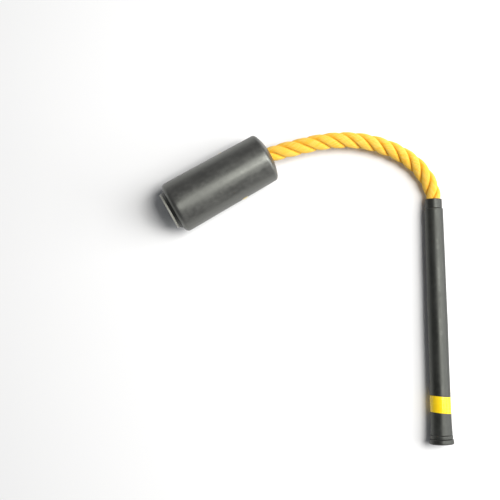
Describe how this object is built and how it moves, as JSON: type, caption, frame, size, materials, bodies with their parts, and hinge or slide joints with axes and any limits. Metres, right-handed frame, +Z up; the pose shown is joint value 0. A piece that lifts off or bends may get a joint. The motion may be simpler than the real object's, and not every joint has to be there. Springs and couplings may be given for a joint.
{
  "type": "swing trainer stick",
  "caption": "Swing training stick: a long rubber grip with a yellow band, joined by a thick bent rope to a short heavy barrel.",
  "frame": {"origin": "middle of the box around the handle and the barrel, on the floor that they lie on", "axes": "+Y along the handle from its butt to its mouth, +Z up from the floor, and the rope bends round to -X"},
  "size_m": [0.3719, 0.4043, 0.0688],
  "materials": {
    "grip_rubber": "matte moulded rubber, slightly shiny on its edges",
    "black_plastic": "satin black moulded plastic",
    "barrel_skin": "satin charcoal skin with a soft broad shine",
    "barrel_rubber": "dull solid rubber filling",
    "yellow_vinyl": "glossy vinyl tape",
    "yellow_rope": "laid three-strand synthetic rope with a low sheen",
    "grey_plate": "light grey satin plastic",
    "steel": "plain steel",
    "plated_steel": "yellow zinc plating",
    "tape": "whipping twine"
  },
  "bodies": {
    "handle": {"butt_plug": "black_plastic", "knob_ring": "grip_rubber", "rubber_grip": "grip_rubber", "yellow_band": "yellow_vinyl", "handle_core_tube": "black_plastic", "mouth_ferrule": "black_plastic", "rope_tail_handle": "yellow_rope", "tail_whipping": "tape", "rope_pin": "steel", "rope_section_1": "yellow_rope"},
    "rope_a": {"rope_section_2": "yellow_rope"},
    "rope_b": {"rope_section_3": "yellow_rope"},
    "rope_c": {"rope_section_4": "yellow_rope"},
    "rope_d": {"rope_section_5": "yellow_rope"},
    "barrel": {"rope_section_6": "yellow_rope", "barrel_shell": "barrel_skin", "barrel_core": "barrel_rubber", "rope_tail_barrel": "yellow_rope", "stopper_washer": "steel", "rope_stopper": "steel", "cross_bolt": "plated_steel", "bolt_nut": "plated_steel", "end_plug": "black_plastic", "end_plate": "grey_plate"}
  },
  "joints": [
    {"name": "rope_bend_1", "type": "hinge", "parent": "handle", "child": "rope_a", "pos_m": [0.1665, 0.13669, 0.01203], "axis": [0, 0, 1], "range_deg": [-39, 9], "stiffness_Nm_per_rad": 0.6},
    {"name": "rope_bend_2", "type": "hinge", "parent": "rope_a", "child": "rope_b", "pos_m": [0.13647, 0.17147, 0.01473], "axis": [0, 0, 1], "range_deg": [-29, 9], "stiffness_Nm_per_rad": 0.6},
    {"name": "rope_bend_3", "type": "hinge", "parent": "rope_b", "child": "rope_c", "pos_m": [0.09005, 0.19054, 0.02027], "axis": [0, 0, 1], "range_deg": [-19, 14], "stiffness_Nm_per_rad": 0.6},
    {"name": "rope_bend_4", "type": "hinge", "parent": "rope_c", "child": "rope_d", "pos_m": [0.03793, 0.19306, 0.02668], "axis": [0, 0, 1], "range_deg": [-16.5, 15], "stiffness_Nm_per_rad": 0.6},
    {"name": "rope_bend_5", "type": "hinge", "parent": "rope_d", "child": "barrel", "pos_m": [-0.01559, 0.18239, 0.03136], "axis": [0, 0, 1], "range_deg": [-15.5, 14], "stiffness_Nm_per_rad": 0.6}
  ]
}
